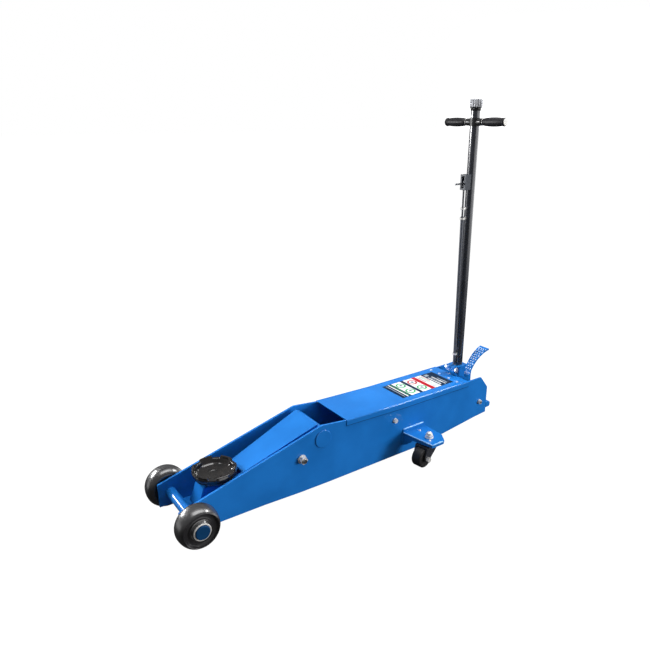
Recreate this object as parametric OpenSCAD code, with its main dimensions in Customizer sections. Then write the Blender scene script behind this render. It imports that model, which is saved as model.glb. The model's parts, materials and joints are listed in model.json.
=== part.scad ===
// Long-chassis trolley jack. Two side plates carry a parallel lift arm that a hydraulic
// ram pushes up; a tall T-handle and a foot pedal both work the pump at the rear.
// +X points to the saddle end, +Y to the left and +Z up. The origin is on the floor,
// under the middle of the jack. Every length is in millimetres.

/* [Chassis] */
// Width over the two side plates
chassis_w = 190; // [186:1:194]
// Thickness of one side plate
plate_t = 8; // [6:1:8]
// Distance from the front axle to the back of the rear bar
rear_reach = 1345; // [1340:1:1350]
// Height of the flat underside of the side plates
belly_z = 12.5; // [10:0.5:14]
// Height of the top of the side plates at the rear
deck_z = 220; // [218:1:222]
// Height of the top of the side plates at the front
nose_z = 107; // [104:1:108]

/* [Lift arm] */
// Distance from the front axle back to the arm pivot
pivot_back = 486; // [484:1:488]
// Height of the arm pivot
pivot_z = 193; // [192:1:194]
// Length of the lift arm from its pivot to the saddle pin, along X
arm_dx = 336; // [335:1:337]
// Drop of the saddle pin below the arm pivot
arm_dz = -93; // [-94:1:-92]
// Offset of the link bars from the arm along X
link_dx = 87; // [86:1:88]
// Offset of the link bars from the arm along Z
link_dz = -50; // [-51:1:-49]
// Angle that the arm swings through from rest to full height
lift_deg = 70; // [66:1:70]
// Radius of the saddle cup
saddle_r = 74; // [70:1:75]
// Height of the saddle rim at rest
saddle_top = 165; // [163:1:166]

/* [Ram] */
// Distance from the arm pivot to the crank pin that the ram pushes
crank_r = 110; // [109:1:111]
// Radius of the ram rod
rod_r = 20; // [18:1:20]
// Radius of the piston
piston_r = 28; // [26:1:28]

/* [Wheels] */
// Radius of a front wheel
wheel_r = 70; // [70:1:71]
// Width of a front wheel
wheel_w = 69; // [67:1:70]
// Radius of the front axle
axle_r = 17; // [15:1:17]
// Radius of a caster wheel
caster_r = 37; // [36:0.5:37]
// Distance from a caster's swivel axis to its wheel's axle
caster_trail = 41.5; // [38:0.5:41.5]
// Angle that the casters stand turned outwards
caster_turn = 9; // [0:1:20]

/* [Handle] */
// Height of the top of the release knob
handle_top = 1300; // [1290:1:1302]
// Height of the cross bar
bar_z = 1219; // [1210:1:1222]
// Length over the cross bar's grips
bar_len = 282; // [270:1:300]
// Outer radius of the handle tube
tube_r = 17; // [16:0.5:17]
// Distance from the front axle back to the handle tube
handle_back = 1237; // [1236:1:1238]
// Distance from the front axle back to the handle pivot
hinge_back = 1275; // [1274:1:1276]
// Height of the handle pivot
hinge_z = 112; // [111:1:113]
// Angle that the pump roller hangs behind the handle pivot
roller_deg = 25; // [20:1:30]
// Angle that the pedal swings down
pedal_deg = 25; // [20:1:25]

/* [Hidden] */

$fn = 64;
blue = "#2468b8";
light_blue = "#4a98ec";
black = "#1c1c1f";
iron = "#26262a";
zinc = "#c8ccd2";
steel = "#9a9ea5";

// Running clearance between a shaft and its bore, on the radius
fit = 0.05;
// Gap between faces that slide past each other
gap = 0.3;

// The front axle stands so that the wheels and the rear bar end equally far from X = 0.
axle_x = (rear_reach - wheel_r) / 2;
rear_x = axle_x - rear_reach;
plate_y = chassis_w / 2;
inner_y = plate_y - plate_t;

// Pivots of the lift, as [x, z].
P = [axle_x - pivot_back, pivot_z];
link_step = [link_dx, link_dz];
L = P + link_step;
S = P + [arm_dx, arm_dz];
Q = S + link_step;
half_lift = lift_deg / 2;
C = P + crank_r * [-sin(half_lift), -cos(half_lift)];
ram_z = P[1] - crank_r * (1 + cos(half_lift)) / 2;
ram_stroke = 2 * crank_r * sin(half_lift);

pivot_r = 22;
anchor_r = 12;
stud_r = 8;
saddle_pin_r = 11;
link_pin_r = 10;
crank_pin_r = 12;
hinge_r = 10;
screw_r = 5;

// Layers across the jack, from the middle outwards.
yoke_y = 30;
bar_in = 31;
bar_out = 38.5;
arm_in = 40;
arm_t = 7;
cheek_in = 20;
cheek_out = 30;

// The arm's top plate.
arm_back = [P[0] + 6, 239];
arm_front = [axle_x - 206, 140];
arm_slope = (arm_front[1] - arm_back[1]) / (arm_front[0] - arm_back[0]);
arm_wide = 70;
arm_narrow = arm_in + arm_t;
arm_plate_h = 8.5;

saddle_x = axle_x - 122;
seat_z = 119;
stem_r = 12;

wheel_in = plate_y + 4;
hub_y = wheel_in + wheel_w - 1;
axle_end = hub_y - 1;
cap_r = 23.5;

swivel = [axle_x - 907.5, 182];
bracket_y = 233;
bracket_x = [axle_x - 853, axle_x - 961];
bracket_z = 102;
bracket_t = 8;
kingpin_r = 8;
caster_w = 40;
fork_in = 22;
fork_out = 28;
nut_end = 38;
caster_axle_r = 6;

H = [axle_x - hinge_back, hinge_z];
tube_x = axle_x - handle_back;
socket_w = 28;
socket_top = 260;
socket_base = 178;
tube_base = 188;
tube_top = handle_top - 42;
lever_r = 32;
roller_r = 8;
roller = H + lever_r * [-sin(roller_deg), -cos(roller_deg)];
toe = H + lever_r * [-sin(pedal_deg / 2), -cos(pedal_deg / 2)];
push_gap = 1.2;

// The lock rod leans out slightly from the handle tube as it rises.
lock_base = [tube_x + tube_r + 6.8, 266];
lock_lean = 0.96;
lock_tube_len = 610;

block_x = [axle_x - 1197.5, axle_x - 1107.5];
block_y = 72;
pump_z = 80;
pedal_pump_y = 58;
valve = [-40, 108];
gland_x = axle_x - 762.5;
cylinder_r = 38;
unit_bolt = [axle_x - 812, 163.5];

// ---- helpers ----

function arc(c, r, from, to, steps) =
    [for (i = [0:steps]) let (a = from + (to - from) * i / steps) c + r * [cos(a), sin(a)]];

// A drawing in X and Z, made solid from y0 to y1.
module slab(y0, y1) {
    translate([0, y1, 0]) rotate([90, 0, 0]) linear_extrude(y1 - y0) children();
}

// A round bar along Y through the point p = [x, z].
module bar_y(p, r, y0, y1) {
    translate([p[0], y0, p[1]]) rotate([-90, 0, 0]) cylinder(r = r, h = y1 - y0);
}

// A round bar along X through the point p = [y, z].
module bar_x(p, r, x0, x1) {
    translate([x0, p[0], p[1]]) rotate([0, 90, 0]) cylinder(r = r, h = x1 - x0);
}

// A hexagon prism along Y, af across its flats.
module hex_y(p, af, y0, y1) {
    translate([p[0], y0, p[1]]) rotate([-90, 0, 0])
        cylinder(r = af / 2 / cos(30), h = y1 - y0, $fn = 6);
}

// A box between two opposite corners.
module box(a, b) {
    translate(a) cube(b - a);
}

module disc(p, r) {
    translate(p) circle(r = r);
}

// A flat bar with a round eye at each end, in X and Z.
module eye_bar(a, ra, b, rb, wa, wb) {
    d = (b - a) / norm(b - a);
    n = [-d[1], d[0]];
    disc(a, ra);
    disc(b, rb);
    polygon([a + n * wa, b + n * wb, b - n * wb, a - n * wa]);
}

// Children on the left for side = 1, mirrored to the right for side = -1.
module on_side(side) {
    if (side > 0) children();
    else mirror([0, 1, 0]) children();
}

module both_sides() {
    children();
    mirror([0, 1, 0]) children();
}

// ---- chassis ----

hump_r = 50;
nose_x = axle_x + 41;
tail_x = rear_x + 26;
cover_front = axle_x - 586;
cover_mid = axle_x - 834;
cover_rear = axle_x - 1200;
cover_front_z = deck_z + 12;
cover_mid_z = deck_z + 3.5;

module plate_outline() {
    slope = atan2(P[1] + hump_r - nose_z, nose_x - P[0]);
    polygon(concat(
        [[nose_x, 24], [nose_x, nose_z]],
        arc(P, hump_r, 90 - slope, 98, 8),
        [[cover_front, cover_front_z], [cover_mid, cover_mid_z], [tail_x + 41, deck_z],
         [tail_x, 169], [tail_x, 53], [tail_x + 62, 48], [tail_x + 150, 38],
         [tail_x + 258, 25], [tail_x + 384, belly_z], [axle_x - 515, belly_z],
         [axle_x - 388, belly_z + 2], [axle_x - 251, 20], [axle_x - 93, 22]]));
}

module side_plate(side) {
    color(blue) on_side(side) difference() {
        slab(inner_y, plate_y) plate_outline();
        bar_y([axle_x, wheel_r], axle_r + fit, inner_y - 1, plate_y + 1);
        bar_y(P, pivot_r + fit, inner_y - 1, plate_y + 1);
        bar_y(L, stud_r + fit, inner_y - 1, plate_y + 1);
        bar_y(unit_bolt, screw_r + fit, inner_y - 1, plate_y + 1);
        bar_y(H, screw_r + fit, inner_y - 1, plate_y + 1);
    }
}

module left_side_plate() side_plate(1);
module right_side_plate() side_plate(-1);

module cross_plates() {
    color(blue) for (at = [[axle_x - 207.5, axle_x - 27, 23], [-60, 60, 16]])
        box([at[0], -inner_y, at[2]], [at[1], inner_y, at[2] + 6]);
}

module rear_tie_bar() {
    color(light_blue) slab(-plate_y, plate_y) polygon([
        [tail_x, 72], [tail_x, 98], [rear_x + 8, 98], [rear_x, 91], [rear_x, 77],
        [rear_x + 6, 72]]);
}

sheet_t = 2.5;
skirt_h = 21;
module cover_profile(drop) {
    polygon([
        [cover_front, cover_front_z + sheet_t], [cover_mid, cover_mid_z + sheet_t],
        [cover_rear, deck_z + 0.7 + sheet_t], [cover_rear, deck_z + 0.7 + sheet_t - drop],
        [cover_mid, cover_mid_z + sheet_t - drop],
        [cover_front, cover_front_z + sheet_t - drop]]);
}

module top_cover() {
    color(light_blue) {
        slab(-plate_y - gap - sheet_t, plate_y + gap + sheet_t) cover_profile(sheet_t - 0.1);
        both_sides() slab(plate_y + gap, plate_y + gap + sheet_t) cover_profile(skirt_h);
    }
}

module cover_screws() {
    row_x = cover_rear + 43;
    seat = deck_z + 1.15 + sheet_t;
    color(light_blue) for (y = [-74, -27, 27, 74])
        translate([row_x, y, seat]) cylinder(r1 = 5.5, r2 = 4, h = 3.2);
}

module pivot_bosses() {
    color(blue) both_sides() bar_y(P, 32.5, plate_y, plate_y + 4);
}

module arm_pivot_shaft() {
    color(steel) bar_y(P, pivot_r, -plate_y, plate_y);
}

module front_axle() {
    color(blue) bar_y([axle_x, wheel_r], axle_r, -axle_end, axle_end);
}

module axle_end_caps() {
    color(blue) both_sides() translate([axle_x, axle_end, wheel_r]) rotate([-90, 0, 0])
        rotate_extrude() polygon([[0, 0], [cap_r, 0], [cap_r, 7.5], [cap_r - 2, 9.5], [0, 9.5]]);
}

module hub_washers() {
    color(zinc) both_sides() difference() {
        bar_y([axle_x, wheel_r], 29, hub_y + gap, hub_y + 4);
        bar_y([axle_x, wheel_r], cap_r + fit, hub_y - 1, hub_y + 5);
    }
}

// ---- casters ----

// The bracket is folded up against the side plate, and its front edge slants back as it
// goes outwards.
bracket_slant = 9;

// Outline of a gusset, hanging from the bracket's plate: out from the side plate, then down.
module gusset_outline(steps) {
    polygon(concat([[0, 0]], steps, [[steps[len(steps) - 1][0], 0]]));
}

module caster_bracket(side) {
    front = bracket_x[0];
    back = bracket_x[1];
    under = bracket_z - bracket_t;
    reach = bracket_y - plate_y;
    corner = front - reach * tan(bracket_slant);
    round_r = 8;
    color(blue) on_side(side) difference() {
        union() {
            translate([0, 0, under]) linear_extrude(bracket_t) polygon(concat(
                [[front, plate_y], [corner, bracket_y]],
                arc([back + 21 + round_r, bracket_y - round_r], round_r, 90, 155, 6),
                [[back, swivel[1] + 12], [back, plate_y]]));
            box([back, plate_y, under], [front, plate_y + 4, bracket_z + 10]);
            box([back + 28, bracket_y - 7, under - 5], [corner, bracket_y, under]);
            intersection() {
                translate([front, plate_y, under]) rotate([0, 0, bracket_slant])
                    translate([-8, -4, 0]) rotate([90, 0, 90]) linear_extrude(8)
                        gusset_outline([
                            [0, -48], [17, -41], [27, -35], [35, -27], [43, -22],
                            [51, -10], [reach + 3, -5]]);
                box([back, plate_y, 0], [front, bracket_y - 7, bracket_z]);
            }
            translate([back, plate_y, under]) rotate([90, 0, 90]) linear_extrude(8)
                gusset_outline([[0, -48], [7, -46], [14, -16], [reach - 49, -10]]);
        }
        translate([swivel[0], swivel[1], under - 1]) cylinder(r = kingpin_r + fit, h = 20);
    }
}

module left_caster_bracket() caster_bracket(1);
module right_caster_bracket() caster_bracket(-1);

crown_z = 76;
boss_top = bracket_z - bracket_t - gap;
module caster_kingpins() {
    color(steel) both_sides() translate([swivel[0], swivel[1], 0]) {
        translate([0, 0, crown_z - gap - 4]) cylinder(r = 13, h = 4);
        translate([0, 0, crown_z - gap]) cylinder(r = kingpin_r, h = bracket_z - crown_z + 14);
    }
}

module caster_dome_nuts() {
    dome_z = bracket_z + 2.5;
    color(zinc) both_sides() translate([swivel[0], swivel[1], 0]) difference() {
        union() {
            translate([0, 0, bracket_z]) cylinder(r = 16, h = 2.5);
            translate([0, 0, dome_z]) cylinder(r = 13 / cos(30), h = 9, $fn = 6);
            translate([0, 0, dome_z + 9]) sphere(r = 12);
        }
        translate([0, 0, bracket_z - 1]) cylinder(r = kingpin_r + fit, h = 16);
    }
}

// The caster's own frame: its swivel axis at X = 0 and its wheel ahead of it on +X.
module caster_frame(side) {
    on_side(side) translate([swivel[0], swivel[1], 0]) rotate([0, 0, caster_turn]) children();
}

module caster_fork(side) {
    hub = [caster_trail, caster_r];
    color(black) caster_frame(side) difference() {
        union() {
            translate([0, 0, crown_z]) cylinder(r = 20, h = boss_top - crown_z);
            box([-20, -fork_out, crown_z], [46, fork_out, crown_z + 6]);
            both_sides() slab(fork_in, fork_out) {
                polygon([[-20, crown_z], [46, crown_z], [53, 54], [53, 34], [30, 30]]);
                disc(hub, 12);
            }
        }
        translate([0, 0, crown_z - 1]) cylinder(r = kingpin_r + fit, h = 30);
        bar_y(hub, caster_axle_r + fit, -nut_end, nut_end);
    }
}

module caster_wheel(side) {
    half = caster_w / 2;
    color(black) caster_frame(side) translate([caster_trail, 0, caster_r]) rotate([-90, 0, 0])
        rotate_extrude() polygon([
            [caster_axle_r + fit, -half - 1], [13, -half - 1], [14, 2 - half], [24, 2 - half],
            [26, -half], [caster_r - 4, -half], [caster_r, 4 - half], [caster_r, half - 4],
            [caster_r - 4, half], [26, half], [24, half - 2], [14, half - 2], [13, half + 1],
            [caster_axle_r + fit, half + 1]]);
}

module caster_axle(side) {
    hub = [caster_trail, caster_r];
    color(zinc) caster_frame(side) {
        bar_y(hub, caster_axle_r, -fork_out, nut_end - 3);
        hex_y(hub, 18, -fork_out - 7, -fork_out);
        difference() {
            hex_y(hub, 18, fork_out, nut_end);
            bar_y(hub, caster_axle_r + fit, fork_in, nut_end - 2);
        }
    }
}

module left_caster_fork() caster_fork(1);
module left_caster_wheel() caster_wheel(1);
module left_caster_axle() caster_axle(1);
module right_caster_fork() caster_fork(-1);
module right_caster_wheel() caster_wheel(-1);
module right_caster_axle() caster_axle(-1);

// ---- front wheels ----

module front_wheel(side) {
    w = wheel_w;
    color(black) on_side(side) translate([axle_x, wheel_in, wheel_r]) rotate([-90, 0, 0])
        rotate_extrude() polygon(concat(
            [[axle_r + fit, 0], [31, 0], [34, 7], [46, 7]],
            arc([wheel_r - 18, 20], 18, -90, 0, 6),
            arc([wheel_r - 19, w - 22], 19, 0, 78, 6),
            [[46, w - 9], [34, w - 11], [30, w - 3], [28, w - 1], [cap_r + 0.8, w - 1],
             [cap_r + 0.8, w - 2.4], [axle_r + fit, w - 2.4]]));
}

module left_front_wheel() front_wheel(1);
module right_front_wheel() front_wheel(-1);

// ---- fasteners across the side plates ----

module link_anchor_shaft() {
    color(zinc) {
        bar_y(L, anchor_r, -inner_y + fit, inner_y - fit);
        both_sides() bar_y(L, stud_r, inner_y - fit, plate_y + 22);
    }
}

module link_anchor_nuts() {
    color(zinc) both_sides() difference() {
        union() {
            bar_y(L, 16, plate_y, plate_y + 3);
            hex_y(L, 24, plate_y + 3, plate_y + 17);
        }
        bar_y(L, stud_r + fit, plate_y - 1, plate_y + 20);
    }
}

module unit_mount_bolts() {
    color(zinc) both_sides() {
        bar_y(unit_bolt, screw_r, 66, plate_y);
        bar_y(unit_bolt, 10, plate_y, plate_y + 2);
        hex_y(unit_bolt, 16, plate_y + 2, plate_y + 8.5);
    }
}

module hinge_shaft() {
    color(steel) {
        bar_y(H, hinge_r, -inner_y + fit, inner_y - fit);
        both_sides() bar_y(H, screw_r, inner_y - fit, plate_y + 11);
    }
}

module hinge_nuts() {
    color(zinc) both_sides() difference() {
        union() {
            bar_y(H, 10, plate_y, plate_y + 2);
            hex_y(H, 16, plate_y + 2, plate_y + 9);
        }
        bar_y(H, screw_r + fit, plate_y - 1, plate_y + 12);
    }
}

// ---- hydraulic unit ----

module oil_tank() {
    wall = 3;
    low = [block_x[1], -60, 136];
    high = [gland_x + 5, 60, 200];
    color(blue) difference() {
        union() {
            difference() {
                box(low, high);
                box([low[0] + wall, low[1] + wall, low[2] - 1], high - [wall, wall, wall]);
            }
            translate([low[0] + 40, 0, high[2] - 1]) cylinder(r = 10, h = 9);
            both_sides() bar_y(unit_bolt, 14, high[1] - 1, inner_y - fit);
        }
        both_sides() bar_y(unit_bolt, screw_r + fit, high[1] + 2, inner_y + 1);
    }
}

module ram_cylinder() {
    color(blue) difference() {
        union() {
            bar_x([0, ram_z], cylinder_r, block_x[1], gland_x);
            bar_x([0, ram_z], cylinder_r + 1.5, gland_x - 10, gland_x + 22);
        }
        bar_x([0, ram_z], piston_r + fit, block_x[1] - 1, gland_x);
        bar_x([0, ram_z], rod_r + fit, gland_x - 1, gland_x + 30);
    }
}

module pump_block() {
    back = block_x[0] - 1;
    color(iron) difference() {
        box([block_x[0], -block_y, 50], [block_x[1], block_y, 135.7]);
        bar_x([0, pump_z], 9 + fit, back, block_x[0] + 82);
        bar_x([pedal_pump_y, pump_z], 6 + fit, back, block_x[0] + 60);
        bar_x(valve, 6 + fit, back, block_x[0] + 40);
    }
}

spring_y = 47;
spring_r = 7;
ear_back = C[0] - 40;
module return_springs() {
    color(steel) both_sides()
        bar_x([spring_y, ram_z], spring_r, block_x[1] + gap, ear_back - gap);
}

module ram_rod() {
    piston_back = gland_x - ram_stroke - 44;
    color(zinc) {
        bar_x([0, ram_z], rod_r, piston_back + 30, ear_back);
        bar_x([0, ram_z], piston_r, piston_back, piston_back + 30);
    }
}

module ram_crosshead() {
    slot_w = crank_pin_r + 2.2;
    slot_h = 24;
    color(iron) difference() {
        union() {
            box([ear_back, -18, ram_z - 31], [C[0] + 24, 18, ram_z + 31]);
            box([ear_back, -53, ram_z - 9], [ear_back + 9, 53, ram_z + 9]);
        }
        box([C[0] - slot_w, -19, ram_z - slot_h], [C[0] + slot_w, 19, ram_z + slot_h]);
    }
}

module hand_plunger() {
    tip = roller[0] + roller_r + push_gap;
    color(zinc) {
        bar_x([0, pump_z], 9, tip + 5, block_x[0] + 40);
        bar_x([0, pump_z], 12, tip, tip + 5);
    }
}

module pedal_plunger() {
    tip = toe[0] + roller_r + push_gap;
    color(zinc) {
        bar_x([pedal_pump_y, pump_z], 6, tip + 5, block_x[0] + 36);
        bar_x([pedal_pump_y, pump_z], 7, tip, tip + 5);
    }
}

module valve_spindle() {
    color(steel) {
        bar_x(valve, 6, block_x[0] - 20, block_x[0] + 38);
        translate([block_x[0] - 34, valve[0], valve[1]]) rotate([0, 90, 0])
            cylinder(r = 8, h = 14, $fn = 6);
    }
}

// ---- lift arm, links and saddle ----

module arm_plan(inset, reach) {
    wide = arm_wide - inset;
    narrow = arm_narrow - inset;
    polygon([
        [P[0] - reach, wide], [arm_back[0], wide], [arm_front[0], narrow],
        [S[0] + reach, narrow], [S[0] + reach, -narrow], [arm_front[0], -narrow],
        [arm_back[0], -wide], [P[0] - reach, -wide]]);
}

module arm_side() {
    polygon([
        arm_back, arm_front, S + [6, 21], S + [-4, -21], [axle_x - 250, 88],
        [axle_x - 318, 116], L + [25.5, 9], L + [-14.5, 23], P + [14, -29], P + [-2, 6]]);
    disc(P, 34);
    disc(S, 22);
}

module under_arm_plate() {
    back = P[0] - 100;
    front = S[0] + 80;
    lip = arm_front[0] + 4;
    function under(x) = arm_back[1] + arm_slope * (x - arm_back[0]) - arm_plate_h;
    polygon([
        [back, 20], [back, under(back)], [lip, under(lip)], [lip, 250], [front, 250],
        [front, 20]]);
}

module lift_arm() {
    hub_end = inner_y - 3;
    color(light_blue) difference() {
        union() {
            difference() {
                intersection() {
                    linear_extrude(300) arm_plan(0, 40);
                    slab(-100, 100) arm_side();
                }
                intersection() {
                    linear_extrude(300) arm_plan(arm_t, 60);
                    slab(-100, 100) under_arm_plate();
                }
            }
            bar_y(P, 34, -hub_end, hub_end);
            both_sides() slab(cheek_in, cheek_out) eye_bar(P, 34, C, 20, 30, 18);
        }
        bar_y(P, pivot_r + fit, -hub_end - 1, hub_end + 1);
        bar_y(C, crank_pin_r + fit, -cheek_out - 1, cheek_out + 1);
        bar_y(S, saddle_pin_r + fit, -60, 60);
    }
}

module crank_pin() {
    color(steel) bar_y(C, crank_pin_r, -cheek_out, cheek_out);
}

module saddle_pin() {
    color(zinc) {
        bar_y(S, saddle_pin_r, -arm_narrow - 1, arm_narrow + 1);
        both_sides() bar_y(S, 16, arm_narrow + gap, arm_narrow + 4);
    }
}

module saddle_yoke() {
    color(light_blue) difference() {
        slab(-yoke_y, yoke_y) {
            polygon([
                [S[0] - 10, seat_z], [axle_x - 67, seat_z], Q + [17.5, 6], Q + [2, -16],
                S + [-8, -14]]);
            disc(S, 18);
            disc(Q, 18);
        }
        bar_y(S, saddle_pin_r + fit, -40, 40);
        bar_y(Q, link_pin_r + fit, -40, 40);
        translate([saddle_x, 0, 84]) cylinder(r = stem_r + fit, h = 40);
    }
}

module yoke_link_pin() {
    color(zinc) {
        bar_y(Q, link_pin_r, -bar_out - 1, bar_out + 1);
        both_sides() bar_y(Q, 14, bar_out + gap, bar_out + 4);
    }
}

module link_bar(side) {
    color(blue) on_side(side) difference() {
        slab(bar_in, bar_out) eye_bar(L, 19, Q, 18, 11, 11);
        bar_y(L, anchor_r + fit, 20, 50);
        bar_y(Q, link_pin_r + fit, 20, 50);
    }
}

module left_link_bar() link_bar(1);
module right_link_bar() link_bar(-1);

rim_z = saddle_top - 8;
module saddle() {
    lugs = 6;
    lug_deg = 38;
    color(iron) translate([saddle_x, 0, 0]) {
        rotate_extrude() polygon([
            [0, 86], [stem_r, 86], [stem_r, seat_z + gap], [28, seat_z + gap], [31, 122],
            [46, 123.5], [54, 127], [62, 130.5], [saddle_r - 4, 136], [saddle_r - 1, 143],
            [saddle_r, 150], [saddle_r, rim_z], [saddle_r - 9, rim_z], [saddle_r - 12, 148],
            [52, 140], [24, 138], [20, 136], [0, 136]]);
        for (i = [0:lugs - 1]) rotate([0, 0, (i + 0.5) * 360 / lugs - lug_deg / 2])
            rotate_extrude(angle = lug_deg) polygon([
                [saddle_r - 8.5, rim_z - 1], [saddle_r - 0.5, rim_z - 1],
                [saddle_r - 1.5, saddle_top], [saddle_r - 7, saddle_top]]);
    }
}

// ---- handle ----

module handle_socket() {
    lug_x = tube_x + socket_w;
    color(blue) difference() {
        union() {
            box([tube_x - socket_w, -socket_w, socket_base],
                [tube_x + socket_w, socket_w, socket_top]);
            both_sides() slab(socket_w - 10, socket_w) {
                polygon([
                    H + [-23.5, 3], [tube_x - socket_w, socket_base + 12],
                    [tube_x + socket_w, socket_base + 12], [tube_x + socket_w, socket_base - 8],
                    H + [19, -14]]);
                disc(H, 24);
                eye_bar(H, 16, roller, 11, 14, 10);
            }
            box([lug_x - 1, -22, socket_top - 24], [lug_x + 18, 22, socket_top]);
        }
        translate([tube_x, 0, tube_base]) cylinder(r = tube_r + fit, h = 100);
        box([tube_x + tube_r - 2, -1.5, socket_top - 30], [lug_x + 20, 1.5, socket_top + 1]);
        bar_y([lug_x + 10, socket_top - 12], screw_r + fit, -30, 30);
        bar_y(H, hinge_r + fit, -40, 40);
        bar_y(roller, 4 + fit, -40, 40);
    }
}

module handle_tube() {
    color(black) translate([tube_x, 0, tube_base]) difference() {
        cylinder(r = tube_r, h = tube_top - tube_base);
        translate([0, 0, -1]) cylinder(r = tube_r - 3, h = tube_top);
    }
}

module handle_cap() {
    color(black) translate([tube_x, 0, tube_top]) difference() {
        cylinder(r1 = tube_r + 1, r2 = tube_r + 2.5, h = 7.5);
        translate([0, 0, -1]) cylinder(r = 5 + fit, h = 20);
    }
}

grip_in = 43;
module cross_bar() {
    half = bar_len / 2 - 4;
    color(black) difference() {
        union() {
            bar_y([tube_x, bar_z], 9.5, -half, half);
            bar_y([tube_x, bar_z], 13, -36, 36);
            translate([tube_x, 0, bar_z - 14]) cylinder(r = tube_r + 3, h = 28);
        }
        translate([tube_x, 0, bar_z - 50]) cylinder(r = tube_r + fit, h = 100);
    }
}

module grip(side) {
    end = bar_len / 2;
    color(black) on_side(side) translate([tube_x, 0, bar_z]) rotate([-90, 0, 0])
        rotate_extrude() polygon([
            [9.5 + fit, grip_in], [12.5, grip_in], [15, grip_in + 12], [16.5, grip_in + 28],
            [16.5, end - 38], [14.5, end - 15], [13.5, end - 9], [15.5, end - 5],
            [14, end], [0, end], [0, end - 3.5], [9.5 + fit, end - 3.5]]);
}

module left_grip() grip(1);
module right_grip() grip(-1);

module pinch_bolt() {
    at = [tube_x + socket_w + 10, socket_top - 12];
    color(zinc) {
        bar_y(at, screw_r, -30, 24);
        hex_y(at, 16, 22, 30);
        difference() {
            hex_y(at, 16, -30, -22);
            bar_y(at, screw_r + fit, -31, -20);
        }
    }
}

module pump_roller() {
    color(zinc) {
        bar_y(roller, roller_r, -16, 16);
        bar_y(roller, 4, -socket_w, socket_w);
    }
}

// The frame of the lock rod: its foot at the origin, its length along +Z.
module lock_frame() {
    translate([lock_base[0], 0, lock_base[1]]) rotate([0, lock_lean, 0]) children();
}

module lock_block() {
    low = 976;
    high = 1033;
    back = tube_x + tube_r;
    color(iron) difference() {
        box([back - 3, -13, low], [tube_x + 43, 13, high]);
        translate([tube_x, 0, low - 1]) cylinder(r = tube_r + fit, h = 80);
        box([back + 8, -6, low + 7], [tube_x + 60, 6, high - 6]);
        lock_frame() cylinder(r = 4.3, h = 740);
    }
}

module lock_tube() {
    color(steel) lock_frame() difference() {
        cylinder(r = 6.2, h = lock_tube_len);
        translate([0, 0, -1]) cylinder(r = 4, h = lock_tube_len + 2);
    }
}

module rod_guides() {
    for (at = [[40, 6.2], [lock_tube_len - 12, 6.2], [lock_tube_len + 26, 4]])
        color(zinc) difference() {
            lock_frame() translate([0, 0, at[0]]) {
                cylinder(r = 9, h = 8);
                translate([-20, -3, 0]) cube([16, 6, 8]);
            }
            lock_frame() cylinder(r = at[1] + 2 * fit, h = 700);
            translate([tube_x, 0, 200]) cylinder(r = tube_r + fit, h = 900);
        }
}

module lock_rod() {
    foot = -4.5;
    lever_z = 734;
    color(zinc) lock_frame() {
        translate([0, 0, foot]) cylinder(r = 3.5, h = lever_z + 8 - foot);
        translate([0, 0, lever_z]) rotate([0, 90, 0]) cylinder(r = 3.2, h = 46);
    }
}

knob_z = handle_top - 34;
module release_knob() {
    flutes = 18;
    color(zinc) translate([tube_x, 0, knob_z]) difference() {
        rotate_extrude() polygon([
            [0, 0], [20, 0], [22, 4], [23.5, 5], [23.5, 32], [21.5, 34], [0, 34]]);
        for (i = [0:flutes - 1]) rotate([0, 0, i * 360 / flutes])
            translate([24.6, 0, 6]) cylinder(r = 2.6, h = 40, $fn = 24);
        translate([0, 0, -1]) cylinder(r = 5 + fit, h = 9);
    }
}

module release_rod() {
    color(steel) translate([tube_x, 0, tube_base + 4]) cylinder(r = 5, h = knob_z + 6 - tube_base - 4);
}

// ---- pedal ----

pedal_t = 6;
tread_c = [axle_x - 1350.6, 192.3];
tread_r = 140;
tread_from = 28;
tread_to = 81.5;
tread_x = tread_c[0] + tread_r * cos(tread_from);
module tread_profile() {
    intersection() {
        difference() {
            disc(tread_c, tread_r);
            disc(tread_c, tread_r - pedal_t);
        }
        polygon(concat([tread_c], arc(tread_c, 300, tread_from, tread_to, 2)));
    }
}

module foot_pedal() {
    face = tread_x + 2;
    root = [cos(tread_from + 0.5), sin(tread_from + 0.5)];
    color(light_blue) difference() {
        union() {
            intersection() {
                slab(20, 90) tread_profile();
                linear_extrude(400) polygon([
                    [tread_x + 20, 48], [tread_x, 48], [tread_x - 103, 31], [tread_x - 140, 31],
                    [tread_x - 140, 78], [tread_x + 20, 78]]);
            }
            slab(48, 78) polygon([
                [face - pedal_t, 185], [face, 188], [face, 240],
                tread_c + tread_r * root, tread_c + (tread_r - pedal_t) * root,
                [face - pedal_t, 240]]);
            slab(48, 68) {
                polygon([
                    [face - 3, 210], [face - 2, 182], H + [17, -9], H + [-17, 8],
                    [face - 20, 205]]);
                disc(H, 20);
                eye_bar(H, 5, toe, roller_r, 5, 7.5);
            }
        }
        bar_y(H, hinge_r + fit, 40, 80);
    }
}

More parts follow.
